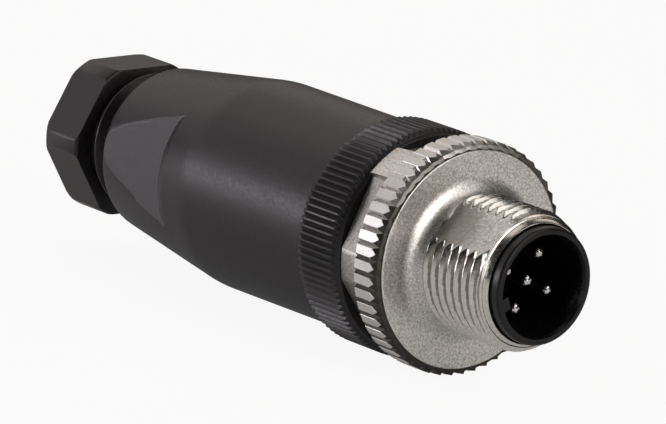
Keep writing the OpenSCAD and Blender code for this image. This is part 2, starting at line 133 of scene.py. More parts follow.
def add_floor():
    """A pale floor that looks white to the camera, shines a little in the metal and
    still takes the shadow."""
    material, nodes, links, shader = new_material("floor")
    shader.inputs["Base Color"].default_value = (FLOOR_TONE, FLOOR_TONE, FLOOR_TONE, 1)
    shader.inputs["Roughness"].default_value = 0.9
    glow = nodes.new("ShaderNodeEmission")
    glow.inputs["Color"].default_value = (1, 1, 1, 1)
    glow.inputs["Strength"].default_value = 1.0
    path = nodes.new("ShaderNodeLightPath")
    shine = nodes.new("ShaderNodeMath")
    shine.operation = "MULTIPLY"
    shine.inputs[1].default_value = FLOOR_SHINE
    share = nodes.new("ShaderNodeMath")
    share.operation = "MULTIPLY_ADD"
    share.inputs[1].default_value = FLOOR_GLOW
    mix = nodes.new("ShaderNodeMixShader")
    links.new(path.outputs["Is Glossy Ray"], shine.inputs[0])
    links.new(path.outputs["Is Camera Ray"], share.inputs[0])
    links.new(shine.outputs[0], share.inputs[2])
    links.new(share.outputs[0], mix.inputs["Fac"])
    links.new(shader.outputs[0], mix.inputs[1])
    links.new(glow.outputs[0], mix.inputs[2])
    links.new(mix.outputs[0], nodes["Material Output"].inputs["Surface"])
    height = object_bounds()[0][2] - FLOOR_GAP
    corners = [(-FLOOR_HALF, -FLOOR_HALF, height), (FLOOR_HALF, -FLOOR_HALF, height),
               (FLOOR_HALF, FLOOR_HALF, height), (-FLOOR_HALF, FLOOR_HALF, height)]
    mesh = bpy.data.meshes.new("floor")
    mesh.from_pydata(corners, [], [(0, 1, 2, 3)])
    floor = bpy.data.objects.new("floor", mesh)
    mesh.materials.append(material)
    bpy.context.scene.collection.objects.link(floor)


# Softboxes round the object: azimuth from -Y towards +X and elevation in degrees,
# width and height in metres, watts, tint.
LAMPS = {
    "right": (98, 12, (0.3, 0.34), 1.6, (1.0, 0.97, 0.94)),
    "right_high": (118, 44, (0.3, 0.26), 0.4, (1.0, 0.96, 0.93)),
    "front": (358, 14, (0.24, 0.22), 0.5, (1.0, 0.98, 0.97)),
    "left": (316, 3, (0.3, 0.16), 0.95, (0.98, 0.93, 1.0)),
    "left_high": (290, 56, (0.34, 0.26), 0.2, (1.0, 0.95, 0.93)),
    "left_mid": (298, 28, (0.46, 0.26), 0.3, (1.0, 0.95, 0.97)),
    "back_left": (248, 34, (0.5, 0.38), 0.44, (1.0, 0.93, 0.89)),
    "back_high": (206, 42, (0.34, 0.34), 0.3, (1.0, 0.9, 0.84)),
    "top": (30, 84, (0.3, 0.3), 0.25, (1.0, 0.95, 0.88)),
}
LAMP_DISTANCE = 0.55
AMBIENT = 0.02


def add_lamp(name, azimuth, elevation, size, power, tint):
    data = bpy.data.lights.new(name, "AREA")
    data.shape = "RECTANGLE"
    data.size, data.size_y = size
    data.energy = power
    data.color = tint
    lamp = bpy.data.objects.new(name, data)
    bpy.context.scene.collection.objects.link(lamp)
    away = toward(azimuth, elevation)
    lamp.location = CAMERA_TARGET * MM + away * LAMP_DISTANCE
    lamp.rotation_euler = away.to_track_quat("Z", "Y").to_euler()


def add_light():
    world = bpy.data.worlds.new("studio")
    bpy.context.scene.world = world
    world.use_nodes = True
    nodes = world.node_tree.nodes
    links = world.node_tree.links
    background = nodes["Background"]
    path = nodes.new("ShaderNodeLightPath")
    background.inputs["Color"].default_value = (1, 1, 1, 1)
    strength = nodes.new("ShaderNodeMapRange")
    strength.inputs["To Min"].default_value = AMBIENT
    strength.inputs["To Max"].default_value = 1.0
    links.new(path.outputs["Is Camera Ray"], strength.inputs["Value"])
    links.new(strength.outputs["Result"], background.inputs["Strength"])
    for name, lamp in LAMPS.items():
        add_lamp(name, *lamp)


# ---------------------------------------------------------------- mesh helpers

# Shares of half a thread's pitch that its crest and a flank take.
THREAD_CREST = 0.1
THREAD_FLANK = 0.7
# Share of a hexagon's columns on its flats, the least reach of its corners as a
# multiple of the apothem, and the widest half-angle of a flat.
FLAT_SHARE = 0.8
LEAST_REACH = 1.0005
WIDEST_FLAT = 29.9


def place(t, angle, r):
    """Points of the frame, in metres, from stations, angles in degrees and radii."""
    a = np.radians(angle)
    return np.stack([RIM_X - np.broadcast_to(t, np.shape(a)) * MM,
                     r * np.sin(a) * MM, r * np.cos(a) * MM], axis=-1)


def finish_mesh(name, verts, faces, materials, smooth):
    """A piece with its material slots, sharp at edges over the smooth angle in degrees."""
    mesh = bpy.data.meshes.new(name)
    mesh.from_pydata([tuple(v) for v in verts], [], faces)
    work = bmesh.new()
    work.from_mesh(mesh)
    bmesh.ops.recalc_face_normals(work, faces=work.faces)
    work.to_mesh(mesh)
    work.free()
    for polygon in mesh.polygons:
        polygon.use_smooth = True
    mesh.set_sharp_from_angle(angle=math.radians(smooth))
    for material in materials:
        mesh.materials.append(material)
    piece = bpy.data.objects.new(name, mesh)
    bpy.context.scene.collection.objects.link(piece)
    return piece


def lathe(name, rows, materials, smooth=32):
    """A closed solid from rows of (station, angles, radii), each row a loop round
    the axis, with the last row joined to the first."""
    columns = len(rows[0][1])
    verts = np.concatenate([place(t, a, r) for t, a, r in rows])
    count = len(rows)
    faces = []
    for i in range(count):
        here = i * columns
        there = (i + 1) % count * columns
        for j in range(columns):
            k = (j + 1) % columns
            faces.append((here + j, here + k, there + k, there + j))
    return finish_mesh(name, verts, faces, materials, smooth)


def even_angles(columns):
    return np.arange(columns) * 360.0 / columns


def round_rows(outline, columns):
    """Round rows from an outline of (station, radius)."""
    return [(t, even_angles(columns), np.full(columns, float(r))) for t, r in outline]


def arc(centre, radius, start, end, steps):
    """Points (station, radius) on an arc; angles are degrees from the +station axis."""
    turns = np.radians(np.linspace(start, end, steps + 1))
    return [(centre[0] + radius * math.cos(a), centre[1] + radius * math.sin(a)) for a in turns]


def line(start, end, steps):
    return [(start[0] + (end[0] - start[0]) * i / steps,
             start[1] + (end[1] - start[1]) * i / steps) for i in range(steps + 1)]


def angle_apart(angle, other):
    """Smallest angle between two directions, in degrees."""
    return abs((angle - other + 180) % 360 - 180)


def thread_depth(t, angles, pitch):
    """Share of the depth, 0 on the crest and 1 at the root, of a right-hand thread.
    The crest and each flank take their shares of half a pitch, and the root the rest."""
    phase = (t / pitch + angles / 360.0) % 1.0
    wave = 1 - np.abs(2 * phase - 1)
    return np.clip((wave - THREAD_CREST) / THREAD_FLANK, 0, 1)


def sector_angles(columns, first, half):
    """Angles of a hexagon's columns, gathered so that flats of the given half-angle
    end on a column."""
    per = columns // 6
    cut = int(per * FLAT_SHARE / 2) * 2
    flat = np.linspace(-half, half, cut + 1)
    corner = np.linspace(half, 60 - half, per - cut + 1)[1:-1]
    one = np.concatenate([flat, corner])
    return np.concatenate([one + first + 60 * k for k in range(6)])


def six_sided(t, apothem, limit, first, columns):
    """A row of a hexagon whose corners are turned down to the radius limit."""
    widest = apothem / math.cos(math.radians(WIDEST_FLAT))
    reach = min(max(limit, apothem * LEAST_REACH), widest)
    half = math.degrees(math.acos(apothem / reach))
    angles = sector_angles(columns, first, half)
    away = (angles - first + 30) % 60 - 30
    radii = np.minimum(apothem / np.cos(np.radians(away)), limit)
    return t, angles, radii


# ---------------------------------------------------------------- materials

# Scales of noise are per metre and heights of bumps in metres. Noise between its low
# and high value spreads the roughness, and between the tones' it changes the colour;
# a metal's clouds have a share of its grain's scale.
NOISE_LOW = 0.3
NOISE_HIGH = 0.7
TONE_LOW = 0.35
TONE_HIGH = 0.65
TONE_DETAIL = 4
GRAIN_SCALE = 9000
GRAIN_HEIGHT = 0.00002
SWELL_SCALE = 900
SWELL_STRENGTH = 0.15
SWELL_HEIGHT = 0.00005
PLASTIC_DETAIL = 3
PLASTIC_CLOUDS = 3200
PLASTIC_SPREAD = 0.05
METAL_DETAIL = 2
METAL_HEIGHT = 0.00003
METAL_CLOUDS = 0.8
METAL_SPREAD = 0.06


def add_bump(nodes, links, shader, noises):
    """Chains bumps of (scale, detail, strength, height) and returns the coordinates."""
    coords = nodes.new("ShaderNodeTexCoord")
    last = None
    for scale, detail, strength, height in noises:
        noise = nodes.new("ShaderNodeTexNoise")
        noise.inputs["Scale"].default_value = scale
        noise.inputs["Detail"].default_value = detail
        links.new(coords.outputs["Object"], noise.inputs["Vector"])
        bump = nodes.new("ShaderNodeBump")
        bump.inputs["Strength"].default_value = strength
        bump.inputs["Distance"].default_value = height
        links.new(noise.outputs["Fac"], bump.inputs["Height"])
        if last:
            links.new(last.outputs["Normal"], bump.inputs["Normal"])
        last = bump
    links.new(last.outputs["Normal"], shader.inputs["Normal"])
    return coords


def add_roughness(nodes, links, shader, source, middle, spread):
    """Roughness that follows a noise, the spread to both sides of the middle."""
    change = nodes.new("ShaderNodeMapRange")
    change.inputs["From Min"].default_value = NOISE_LOW
    change.inputs["From Max"].default_value = NOISE_HIGH
    change.inputs["To Min"].default_value = middle - spread
    change.inputs["To Max"].default_value = middle + spread
    links.new(source, change.inputs["Value"])
    links.new(change.outputs["Result"], shader.inputs["Roughness"])


def add_tone(nodes, links, shader, coords, scale, dark, light):
    """Cloudy change between two close colours; returns the noise behind it."""
    noise = nodes.new("ShaderNodeTexNoise")
    noise.inputs["Scale"].default_value = scale
    noise.inputs["Detail"].default_value = TONE_DETAIL
    links.new(coords.outputs["Object"], noise.inputs["Vector"])
    ramp = nodes.new("ShaderNodeValToRGB")
    ramp.color_ramp.elements[0].position = TONE_LOW
    ramp.color_ramp.elements[0].color = (*dark, 1)
    ramp.color_ramp.elements[1].position = TONE_HIGH
    ramp.color_ramp.elements[1].color = (*light, 1)
    links.new(noise.outputs["Fac"], ramp.inputs["Fac"])
    links.new(ramp.outputs["Color"], shader.inputs["Base Color"])
    return noise.outputs["Fac"]


def moulded_plastic(name, dark, light, roughness, grain, gloss=0.5):
    material, nodes, links, shader = new_material(name)
    coords = add_bump(nodes, links, shader,
                      [(GRAIN_SCALE, PLASTIC_DETAIL, grain, GRAIN_HEIGHT),
                       (SWELL_SCALE, PLASTIC_DETAIL, SWELL_STRENGTH, SWELL_HEIGHT)])
    noise = add_tone(nodes, links, shader, coords, PLASTIC_CLOUDS, dark, light)
    add_roughness(nodes, links, shader, noise, roughness, PLASTIC_SPREAD)
    shader.inputs["Specular IOR Level"].default_value = gloss
    return material


def plated_metal(name, dark, light, roughness, grain, scale):
    material, nodes, links, shader = new_material(name)
    coords = add_bump(nodes, links, shader, [(scale, METAL_DETAIL, grain, METAL_HEIGHT)])
    noise = add_tone(nodes, links, shader, coords, scale * METAL_CLOUDS, dark, light)
    add_roughness(nodes, links, shader, noise, roughness, METAL_SPREAD)
    shader.inputs["Metallic"].default_value = 1.0
    return material


# Each has a dark and a light tone, roughness and grain; then plastics their gloss and
# metals the scale of their grain.
SHELL_PLASTIC = moulded_plastic("shell_plastic", (0.0085, 0.0068, 0.0075), (0.016, 0.0133, 0.0145),
                                0.39, 0.3, 0.38)
RING_PLASTIC = moulded_plastic("ring_plastic", (0.008, 0.0073, 0.0077), (0.014, 0.0125, 0.0135),
                               0.38, 0.2, 0.42)
SCREW_PLASTIC = moulded_plastic("screw_plastic", (0.0085, 0.007, 0.0072), (0.016, 0.0138, 0.014),
                                0.4, 0.3, 0.4)
INSERT_PLASTIC = moulded_plastic("insert_plastic", (0.003, 0.0028, 0.003), (0.005, 0.0046, 0.005),
                                 0.3, 0.1, 0.3)
MATT_METAL = plated_metal("matt_metal", (0.40, 0.385, 0.36), (0.76, 0.74, 0.71),
                          0.36, 0.35, 8000)
SATIN_METAL = plated_metal("satin_metal", (0.60, 0.57, 0.53), (0.74, 0.72, 0.68),
                           0.22, 0.04, 5000)
COLLAR_METAL = plated_metal("collar_metal", (0.22, 0.21, 0.195), (0.46, 0.445, 0.425),
                            0.42, 0.3, 8000)
# Painted shade for the thread's grooves.
GROOVE_SHADE_METAL = plated_metal("painted_groove_shade", (0.27, 0.25, 0.225), (0.4, 0.375, 0.34),
                            0.34, 0.04, 5000)
TOOTH_METAL = plated_metal("tooth_metal", (0.60, 0.585, 0.56), (0.70, 0.685, 0.66),
                           0.42, 0.03, 6000)
# Painted highlight for one flank of every tooth.
FLANK_HIGHLIGHT_METAL = plated_metal("painted_flank_highlight", (0.66, 0.64, 0.61), (0.76, 0.74, 0.71),
                           0.3, 0.03, 6000)
# Painted light for the fronts of the teeth on the upper side of the ring.
LIT_FRONT_METAL = plated_metal("painted_lit_front", (0.34, 0.33, 0.31), (0.44, 0.43, 0.41),
                           0.4, 0.03, 6000)
# Painted shade for the teeth's far flanks and for the fronts a little lower down.
SHADE_METAL = plated_metal("shade_metal", (0.14, 0.133, 0.122), (0.2, 0.19, 0.176),
                           0.44, 0.03, 6000)
# Deepest painted shade, for the bed of the teeth and the fronts and flanks of the lower teeth.
DEEP_SHADE_METAL = plated_metal("painted_deep_shade", (0.045, 0.042, 0.038), (0.075, 0.07, 0.064),
                          0.5, 0.05, 6000)
PIN_METAL = plated_metal("pin_metal", (0.62, 0.61, 0.59), (0.68, 0.67, 0.65),
                         0.1, 0.0, 9000)
SCREW_METAL = plated_metal("screw_metal", (0.55, 0.55, 0.55), (0.65, 0.65, 0.65),
                           0.3, 0.1, 5000)
RUBBER = moulded_plastic("rubber", (0.015, 0.015, 0.015), (0.022, 0.022, 0.022),
                         0.7, 0.3)
GREY_RUBBER = moulded_plastic("grey_rubber", (0.05, 0.05, 0.05), (0.07, 0.07, 0.07),
                              0.7, 0.3)


# ---------------------------------------------------------------- coupling ring

SLEEVE_AT = station("coupling_ring", 1)
RING_END = station("coupling_ring", 0)
TOOTH_PROUD = 0.07
TEETH_R = outer_radius("coupling_ring") + TOOTH_PROUD
THREAD_R = MOUNTS["coupling_thread"]["dims"]["r_mm"]
THREAD_AT = RIM_X / MM
THREAD_END = THREAD_AT + MOUNTS["coupling_thread"]["dims"]["length_mm"]
THREAD_ROOT_R = 5.42
# Phase and turn place the crests. The thread rises and falls over these lengths at its
# ends, and its rows reach past it by the margin.
THREAD_PITCH = 0.98
THREAD_PHASE = 7.87
THREAD_TURN = 95.8
THREAD_RISE = 0.3
THREAD_FALL = 0.35
THREAD_MARGIN = 0.32
THREAD_STEPS = 156
LEAD_R = 5.42
LEAD_LEN = 0.55
STEP_AT = 1.5
STEP_R = 5.56
STEP_END = THREAD_AT + 1
RELIEF_R = 5.3
DISC_AT = 9.54
DISC_R = 9.26
DISC_BLEND = 1.9
DISC_EDGE = 0.08
RING_BORE_R = 5.01
COUNTERBORE_R = 7.0
SHOULDER_AT = 10.6
TOOTH_COUNT = 50
TOOTH_ANGLE = 2.15
TOOTH_DEPTH = 0.32
TOOTH_AT = DISC_AT + 0.35
TOOTH_LEN = 2.55
TOOTH_END = TOOTH_AT + TOOTH_LEN
# Sideways places on a tooth's outline, as shares of the pitch.
TOOTH_LOW = -0.31
TOOTH_HIGH = 0.34
TOOTH_TIP = 0.02
RUN_LOW = 0.62
RUN_HIGH = 0.5
TOOTH_BEVEL = 0.035
TOOTH_SIDES = 5
COLLAR_APOTHEM = 8.6
COLLAR_R = 9.3
COLLAR_SOFT = 0.1
COLLAR_ANGLE = -6.3
RING_COLUMNS = 300
LAND_ANGLES = (-44.35, 135.65)
LAND_H = 5.42
LAND_BLEND = 36.0
LAND_REACH = 60
PLATE_ANGLE = -37.5
PLATE_SWEEP = 19.0
PLATE_STEPS = 14

# Painted shade goes on the thread's grooves and on the bed of the teeth.
RING_METALS = (MATT_METAL, SATIN_METAL, DEEP_SHADE_METAL, GROOVE_SHADE_METAL, COLLAR_METAL)
RING_MATT, RING_SATIN, RING_BED_SHADE, RING_GROOVE_SHADE, RING_COLLAR = range(5)
# Painted shade darkens the thread's grooves between these radii, and further than this angle
# from the middle of a land.
GROOVE_SHADE_LOW = 5.2
GROOVE_SHADE_HIGH = 5.68
GROOVE_SHADE_AWAY = 24
# Faces of the disc's rounded edge are smaller than this, in square metres, and lean
# more than the disc's flat face.
EDGE_AREA = 1e-7
EDGE_LEAN = 0.97

# The teeth's fronts and flanks take painted light and shade; only the tops keep the plain metal.
TEETH_METALS = (TOOTH_METAL, DEEP_SHADE_METAL, LIT_FRONT_METAL, SHADE_METAL, FLANK_HIGHLIGHT_METAL)
TOOTH_TOP, TOOTH_DEEP_SHADE, TOOTH_LIT_FRONT, TOOTH_SHADE, TOOTH_FLANK_HIGHLIGHT = range(5)
# Cosines of a tooth's angle above which its front takes painted light, or painted shade.
LIT_FRONT_ABOVE = 0.9
SHADE_ABOVE = 0.55


def blend_radius(t):
    """Radius of the rounded foot of the disc at a station."""
    rise = t - (DISC_AT - DISC_BLEND)
    if rise <= 0:
        return RELIEF_R
    return RELIEF_R + DISC_BLEND - math.sqrt(max(0.0, DISC_BLEND ** 2 - rise ** 2))


def ring_thread_radii(t, angles):
    """Radii across the coupling thread, whose crests two opposite flats cut away."""
    inward = min(1.0, max(0.0, (t - (THREAD_AT - THREAD_RISE)) / THREAD_RISE))
    outward = min(1.0, max(0.0, (THREAD_END + THREAD_RISE - t) / THREAD_FALL))
    base = STEP_R if t < STEP_END else RELIEF_R
    crest = base + (THREAD_R - base) * min(inward, outward)
    depth = thread_depth(t - THREAD_PHASE, THREAD_TURN - angles, THREAD_PITCH)
    away = np.min([angle_apart(angles, land) for land in LAND_ANGLES], axis=0)
    rise = np.clip(away / LAND_BLEND, 0, 1)
    depth = depth * rise * rise * (3 - 2 * rise)
    threaded = crest - (crest - min(crest, THREAD_ROOT_R)) * depth
    flat = LAND_H / np.cos(np.radians(np.minimum(away, LAND_REACH)))
    return np.maximum(np.minimum(threaded, flat), blend_radius(t))


def ring_front():
    """Outline of the sleeve's lip, its lead and the step before the thread."""
    return [(SLEEVE_AT + 0.1, RING_BORE_R), (SLEEVE_AT + 0.02, RING_BORE_R + 0.05),
            (SLEEVE_AT, RING_BORE_R + 0.08), (SLEEVE_AT, RING_BORE_R + 0.12),
            (SLEEVE_AT + 0.03, RING_BORE_R + 0.16), (SLEEVE_AT + LEAD_LEN, LEAD_R - 0.02),
            (SLEEVE_AT + LEAD_LEN + 0.04, LEAD_R), (STEP_AT - 0.05, LEAD_R),
            (STEP_AT, LEAD_R + 0.02), (STEP_AT + 0.05, STEP_R - 0.02),
            (STEP_AT + 0.09, STEP_R)]


def ring_thread_rows():
    angles = even_angles(RING_COLUMNS)
    first = THREAD_AT - THREAD_MARGIN
    last = THREAD_END + THREAD_MARGIN
    stations = [first + (last - first) * i / THREAD_STEPS for i in range(THREAD_STEPS + 1)]
    return [(t, angles, ring_thread_radii(t, angles)) for t in stations]


def ring_disc():
    """Outline of the disc's rounded foot, its face and edge, and the bed of the teeth."""
    blend_r = RELIEF_R + DISC_BLEND
    foot = arc((DISC_AT - DISC_BLEND, blend_r), DISC_BLEND, 270, 360, 40)
    outline = [(t, r) for t, r in foot if t > THREAD_END + THREAD_MARGIN + 0.02]
    outline += line((DISC_AT, blend_r + 0.15), (DISC_AT, DISC_R - 0.2), 8)
    outline += arc((DISC_AT + DISC_EDGE, DISC_R - DISC_EDGE), DISC_EDGE, 180, 90, 4)
    bed = TEETH_R - TOOTH_DEPTH - 0.03
    outline += line((DISC_AT + 0.14, DISC_R), (DISC_AT + 0.4, bed), 2)
    outline += line((DISC_AT + 0.5, bed), (TOOTH_END, bed), 6)
    return outline


def collar_rows():
    """Rows of the six-sided collar, a little smaller at both ends."""
    outline = [(TOOTH_END + 0.01, COLLAR_R - 0.12), (TOOTH_END + 0.08, COLLAR_R - 0.02),
               (TOOTH_END + 0.16, COLLAR_R), (RING_END - 0.2, COLLAR_R),
               (RING_END - 0.06, COLLAR_R - 0.06), (RING_END, COLLAR_R - 0.2)]
    rows = []
    for t, r in outline:
        soft = 0.0 if r > COLLAR_R - COLLAR_SOFT else COLLAR_SOFT
        rows.append(six_sided(t, COLLAR_APOTHEM - soft, r, COLLAR_ANGLE, RING_COLUMNS))
    return rows


def ring_bores():
    """Outline of the counterbore and the bore, from the rear forwards."""
    return [(RING_END, COUNTERBORE_R + 0.2), (RING_END - 0.2, COUNTERBORE_R),
            (SHOULDER_AT + 0.05, COUNTERBORE_R), (SHOULDER_AT, COUNTERBORE_R - 0.05),
            (SHOULDER_AT, RING_BORE_R + 0.05), (SHOULDER_AT - 0.05, RING_BORE_R)]


def ring_rows():
    return (round_rows(ring_front(), RING_COLUMNS) + ring_thread_rows()
            + round_rows(ring_disc(), RING_COLUMNS) + collar_rows()
            + round_rows(ring_bores(), RING_COLUMNS))


def tooth_outline(low, high, tip, front, back, run_low, run_high):
    """Outline of a tooth seen from above as (station, sideways), pointed at the front;
    the runs say how far its two shoulders lie behind the tip."""
    return [(front, tip), (front + run_low, low), (back, low), (back, high),
            (front + run_high, high)]


def tooth_levels():
    """Radius and outline of a tooth's four levels, from inside the ring to its top."""
    pitch = math.tau * TEETH_R / TOOTH_COUNT
    half = pitch / 2
    low = TOOTH_LOW * pitch
    high = TOOTH_HIGH * pitch
    tip = TOOTH_TIP * pitch
    bed = tooth_outline(-half, half, tip, DISC_AT + 0.13, TOOTH_END, 0.03, 0.02)
    foot = tooth_outline(-half, half, tip, DISC_AT + 0.24, TOOTH_END, 0.1, 0.07)
    side = tooth_outline(low, high, tip, TOOTH_AT, TOOTH_END - 0.03, RUN_LOW, RUN_HIGH)
    top = tooth_outline(low + TOOTH_BEVEL, high - TOOTH_BEVEL, tip, TOOTH_AT + 0.04,
                        TOOTH_END - 0.07, RUN_LOW, RUN_HIGH)
    return [(DISC_R - 0.1, bed), (TEETH_R - TOOTH_DEPTH, foot),
            (TEETH_R - TOOTH_BEVEL, side), (TEETH_R, top)]


def tooth_slots(turn):
    """Material slots of the faces between a tooth's levels, in the outline's order: two
    sides of the front at both ends, and between them a flank, the back and a flank. The
    fronts are painted lit or in shade by how high the tooth sits on the ring; one flank
    has a painted highlight and the other painted shade."""
    # How high a tooth sits on the ring sets the painted light and shade of its fronts and far
    # flank.
    height = math.cos(turn)
    if height > LIT_FRONT_ABOVE:
        front = TOOTH_LIT_FRONT
    else:
        front = TOOTH_SHADE if height > SHADE_ABOVE else TOOTH_DEEP_SHADE
    far_flank_shade = TOOTH_SHADE if height > 0 else TOOTH_DEEP_SHADE
    return ([front] * TOOTH_SIDES, [front, TOOTH_FLANK_HIGHLIGHT, TOOTH_TOP, far_flank_shade, front],
            [TOOTH_TOP] * TOOTH_SIDES)


def add_teeth():
    n = TOOTH_SIDES
    levels = tooth_levels()
    verts = []
    faces = []
    slots = []
    for i in range(TOOTH_COUNT):
        turn = math.radians(TOOTH_ANGLE + i * 360 / TOOTH_COUNT)
        start = len(verts)
        for r, outline in levels:
            for t, s in outline:
                y = r * math.sin(turn) + s * math.cos(turn)
                z = r * math.cos(turn) - s * math.sin(turn)
                verts.append((RIM_X - t * MM, y * MM, z * MM))
        for level, sides in enumerate(tooth_slots(turn)):
            a = start + level * n
            for j in range(n):
                k = (j + 1) % n
                faces.append((a + j, a + k, a + n + k, a + n + j))
            slots += sides
        faces.append(tuple(range(start, start + n)))
        faces.append(tuple(range(len(verts) - n, len(verts))))
        slots += [TOOTH_TOP, TOOTH_TOP]
    teeth = finish_mesh("grip_teeth", verts, faces, TEETH_METALS, 20)
    for polygon, slot in zip(teeth.data.polygons, slots):
        polygon.material_index = slot
    return teeth


def add_plate():
    """The raised plate that bridges the teeth on one side of the ring, left bare."""
    front = TOOTH_AT + 0.62
    back = RING_END - 0.12
    outline = [(front, TEETH_R - 0.62), (front + 0.1, TEETH_R - 0.12),
               (front + 0.2, TEETH_R - 0.03), (front + 0.35, TEETH_R - 0.01),
               (back - 2.2, TEETH_R - 0.03), (back - 0.3, TEETH_R - 0.2),
               (back, TEETH_R - 0.3), (back, COLLAR_APOTHEM - 0.3),
               (front, COLLAR_APOTHEM - 0.3)]
    n = PLATE_STEPS + 1
    angles = PLATE_ANGLE + PLATE_SWEEP * (np.arange(n) / PLATE_STEPS - 0.5)
    verts = np.concatenate([place(t, angles, np.full(n, r)) for t, r in outline])
    loops = len(outline)
    faces = []
    for i in range(loops):
        j = (i + 1) % loops
        for k in range(PLATE_STEPS):
            faces.append((i * n + k, i * n + k + 1, j * n + k + 1, j * n + k))
    faces.append(tuple(i * n for i in range(loops)))
    faces.append(tuple(i * n + PLATE_STEPS for i in range(loops)))
    return finish_mesh("bare_plate", verts, faces, [MATT_METAL], 25)


def ring_slot(polygon):
    """Slot of a face of the ring: painted shade in the thread's grooves, a satin sleeve and
    disc edge, painted shade on the bed of the teeth and the dull collar. The disc's foot
    and face stay matt."""
    thread_limit = RIM_X - (DISC_AT - 1.0) * MM
    groove_front = RIM_X - THREAD_AT * MM
    groove_back = RIM_X - (DISC_AT - 0.7) * MM
    rim_limit = RIM_X - (DISC_AT + 0.001) * MM
    edge_limit = RIM_X - (DISC_AT + 0.09) * MM
    collar_limit = RIM_X - TOOTH_END * MM
    x, y, z = polygon.center
    r = math.hypot(y, z)
    angle = math.degrees(math.atan2(y, z))
    away = min(angle_apart(angle, land) for land in LAND_ANGLES)
    small = polygon.area < EDGE_AREA and abs(polygon.normal.x) < EDGE_LEAN
    # Painted shade in the thread's grooves.
    if (groove_back < x < groove_front and GROOVE_SHADE_LOW * MM < r < GROOVE_SHADE_HIGH * MM
            and away > GROOVE_SHADE_AWAY):
        return RING_GROOVE_SHADE
    if x > thread_limit or edge_limit < x < rim_limit and small:
        return RING_SATIN
    # Painted shade on the bed of the teeth.
    if collar_limit < x < edge_limit:
        return RING_BED_SHADE
    return RING_COLLAR if x <= collar_limit else RING_MATT


def add_coupling_ring():
    body = lathe("threaded_ring", ring_rows(), RING_METALS)
    for polygon in body.data.polygons:
        polygon.material_index = ring_slot(polygon)
    for piece in (body, add_teeth(), add_plate()):
        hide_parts("coupling_ring")
        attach(piece, "coupling")


# ---------------------------------------------------------------- grip ring

GRIP_AT = 15.09
GRIP_END = 20.15
GRIP_R = outer_radius("grip_ring")
RIDGES = 102
RIDGE_DEPTH = 0.3
RIDGE_COLUMNS = 8
# Shares of half a ridge's pitch that its top and its side take.
RIDGE_TOP = 0.25
RIDGE_SIDE = 0.65
NOSE_R = 6.94
NECK_R = 8.2
NECK_PITCH = 1.0
NECK_DEPTH = 0.55
NECK_COLUMNS = 192
NECK_STEPS = 90
SEAL_GROOVE_AT = GRIP_END + 0.5
SEAL_GROOVE_END = GRIP_END + 1.7
SEAL_GROOVE_R = NECK_R - 1.2
CARRIER_BORE_R = 5.92


def ridge_rows(outline):
    """Rows across the ridges, each turned down to its radius."""
    columns = RIDGES * RIDGE_COLUMNS
    phase = np.arange(columns) % RIDGE_COLUMNS / RIDGE_COLUMNS
    groove = np.clip((np.abs(2 * phase - 1) - RIDGE_TOP) / RIDGE_SIDE, 0, 1)
    ridged = GRIP_R - RIDGE_DEPTH * groove
    return [(t, even_angles(columns), np.minimum(ridged, r)) for t, r in outline]


def add_ridged_grip():
    columns = RIDGES * RIDGE_COLUMNS
    front = [(GRIP_AT, GRIP_R - 2.5), (GRIP_AT, GRIP_R - 0.62)]
    front += arc((GRIP_AT + 0.15, GRIP_R - 0.62), 0.15, 180, 120, 3)[1:]
    ridges = line((GRIP_AT + 0.2, GRIP_R - 0.42), (GRIP_AT + 0.55, GRIP_R + 0.02), 5)
    ridges += line((GRIP_AT + 0.9, GRIP_R + 1), (GRIP_END - 0.12, GRIP_R + 1), 5)
    ridges += [(GRIP_END - 0.05, GRIP_R - 0.04), (GRIP_END, GRIP_R - 0.12)]
    back = [(GRIP_END, GRIP_R - 0.4), (GRIP_END, GRIP_R - 2.5)]
    rows = round_rows(front, columns) + ridge_rows(ridges) + round_rows(back, columns)
    return lathe("ridged_grip", rows, [RING_PLASTIC], 50)


def add_threaded_neck():
    neck_end = station("grip_ring", 0)
    nose_at = station("grip_ring", 1)
    front = [(nose_at, CARRIER_BORE_R + 0.3), (nose_at, NOSE_R - 0.3), (nose_at + 0.3, NOSE_R),
             (GRIP_AT + 0.1, NOSE_R), (GRIP_AT + 0.1, GRIP_R - 1.5),
             (GRIP_END - 0.1, GRIP_R - 1.5), (GRIP_END - 0.1, NECK_R - 0.9),
             (SEAL_GROOVE_AT, NECK_R - 0.9), (SEAL_GROOVE_AT, SEAL_GROOVE_R),
             (SEAL_GROOVE_END, SEAL_GROOVE_R), (SEAL_GROOVE_END, NECK_R - 0.3)]
    rows = round_rows(front, NECK_COLUMNS)
    angles = even_angles(NECK_COLUMNS)
    start = GRIP_END + 1.75
    for i in range(NECK_STEPS + 1):
        t = start + (neck_end - 0.05 - start) * i / NECK_STEPS
        fade = min(1.0, (neck_end - t) / 0.5, (t - start + 0.1) / 0.4)
        depth = thread_depth(t, -angles, NECK_PITCH)
        rows.append((t, angles, NECK_R - NECK_DEPTH * (1 - fade) - NECK_DEPTH * fade * depth))
    rows += round_rows([(neck_end, NECK_R - 0.75), (neck_end, CARRIER_BORE_R)], NECK_COLUMNS)
    return lathe("threaded_neck", rows, [RING_PLASTIC])


def add_grip_ring():
    for piece in (add_ridged_grip(), add_threaded_neck()):
        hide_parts("grip_ring")
        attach(piece, "insert_unit")


# ---------------------------------------------------------------- backshell

